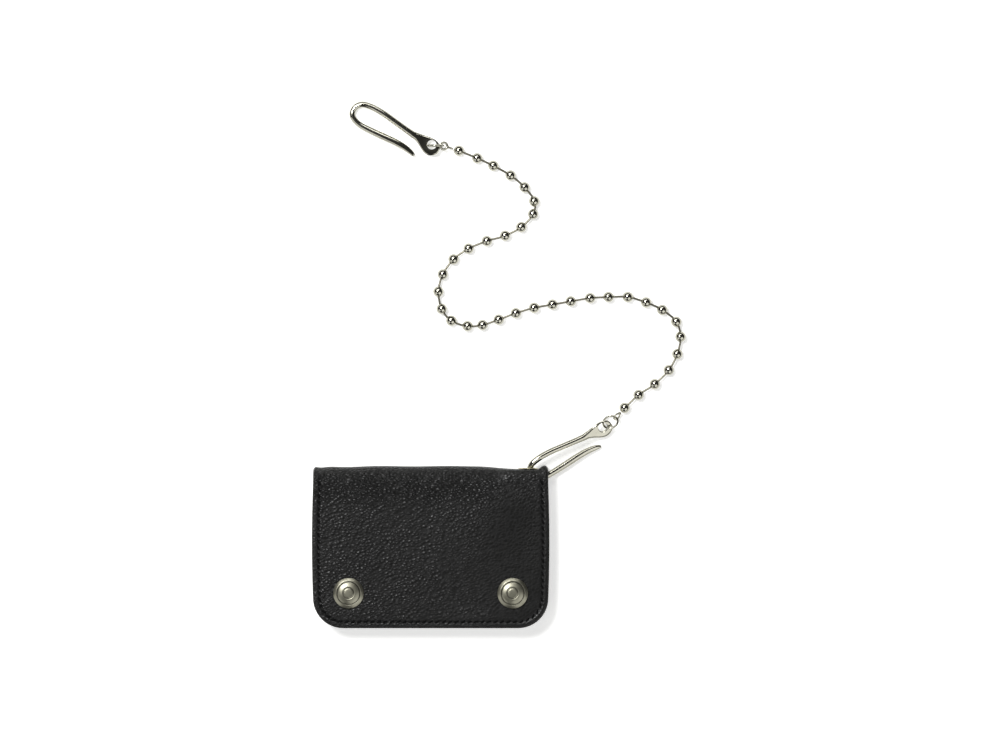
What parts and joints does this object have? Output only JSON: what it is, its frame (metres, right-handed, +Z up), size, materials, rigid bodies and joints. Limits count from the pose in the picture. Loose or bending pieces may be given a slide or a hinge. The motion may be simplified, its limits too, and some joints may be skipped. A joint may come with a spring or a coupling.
{
  "type": "chain wallet",
  "caption": "Small black leather snap wallet with a ball chain that clips to an eyelet in its fold and ends in a belt-loop hook.",
  "frame": {"origin": "middle of the closed wallet's footprint, on the surface that it lies on", "axes": "+X along the wallet's long side, +Y towards its fold, +Z up out of its snap caps"},
  "size_m": [0.1732, 0.2445, 0.0165],
  "materials": {
    "outer_leather": "black pebbled cowhide, semi-matt with bright grain tops",
    "inner_leather": "smooth black split leather, matt",
    "lining": "black woven polyester lining",
    "thread": "black waxed polyester thread",
    "zip_tape": "black woven zip tape",
    "snap_metal": "antiqued nickel silver, domed, darker in its recesses",
    "polished_nickel": "polished nickel",
    "zip_metal": "satin nickel"
  },
  "bodies": {
    "back_half": {"back_cover": "outer_leather", "back_seam_thread": "thread", "spine_fold": "outer_leather", "eyelet": "polished_nickel", "eyelet_washer": "polished_nickel", "bill_pocket_edge": "inner_leather", "bill_pocket_panel": "inner_leather", "card_slot_rear": "inner_leather", "card_slot_middle": "inner_leather", "card_slot_edge": "inner_leather", "card_slot_front": "inner_leather", "left_stud_rivet": "snap_metal", "right_stud_rivet": "snap_metal", "left_snap_stud": "snap_metal", "right_snap_stud": "snap_metal"},
    "cover": {"front_cover": "outer_leather", "cover_seam_thread": "thread", "front_lining": "lining", "left_snap_cap": "snap_metal", "right_snap_cap": "snap_metal", "left_snap_socket": "snap_metal", "right_snap_socket": "snap_metal", "coin_pocket_frame": "inner_leather", "coin_pocket_front": "inner_leather", "upper_zip_tape": "zip_tape", "lower_zip_tape": "zip_tape", "upper_zip_teeth": "zip_metal", "lower_zip_teeth": "zip_metal", "left_zip_stop": "zip_metal", "right_zip_stop": "zip_metal"},
    "slider": {"zip_slider": "zip_metal", "zip_pull": "zip_metal"},
    "near_hook": {"near_hook": "polished_nickel"},
    "near_ring": {"near_ring": "polished_nickel"},
    "chain": {"near_end_loop": "polished_nickel", "ball_chain": "polished_nickel", "far_end_loop": "polished_nickel"},
    "far_ring": {"far_ring": "polished_nickel"},
    "far_hook": {"far_hook": "polished_nickel"}
  },
  "joints": [
    {"name": "cover_crease", "type": "hinge", "parent": "back_half", "child": "cover", "pos_m": [0, 0.02835, 0.0141], "axis": [-1, 0, 0], "range_deg": [0, 170]},
    {"name": "zip_slide", "type": "slide", "parent": "cover", "child": "slider", "axis": [1, 0, 0], "range_m": [0, 0.07]},
    {"name": "near_hook_swing", "type": "hinge", "parent": "back_half", "child": "near_hook", "pos_m": [0.046, 0.037, 0.0075], "axis": [0, 0, 1], "range_deg": [-5, 3]},
    {"name": "near_ring_swing", "type": "hinge", "parent": "near_hook", "child": "near_ring", "pos_m": [0.0808, 0.0557, 0.0046], "axis": [0, 0, 1], "range_deg": [-20, 12]},
    {"name": "chain_swing", "type": "hinge", "parent": "near_ring", "child": "chain", "pos_m": [0.086, 0.0601, 0.0029], "axis": [0, 0, 1], "range_deg": [-30, 20]},
    {"name": "far_ring_swing", "type": "hinge", "parent": "chain", "child": "far_ring", "pos_m": [0.00585, 0.1863, 0.0045], "axis": [0, 0, 1], "range_deg": [-25, 25]},
    {"name": "far_hook_swing", "type": "hinge", "parent": "far_ring", "child": "far_hook", "pos_m": [-0.00115, 0.1863, 0.0035], "axis": [0, 0, 1], "range_deg": [-60, 60]}
  ]
}
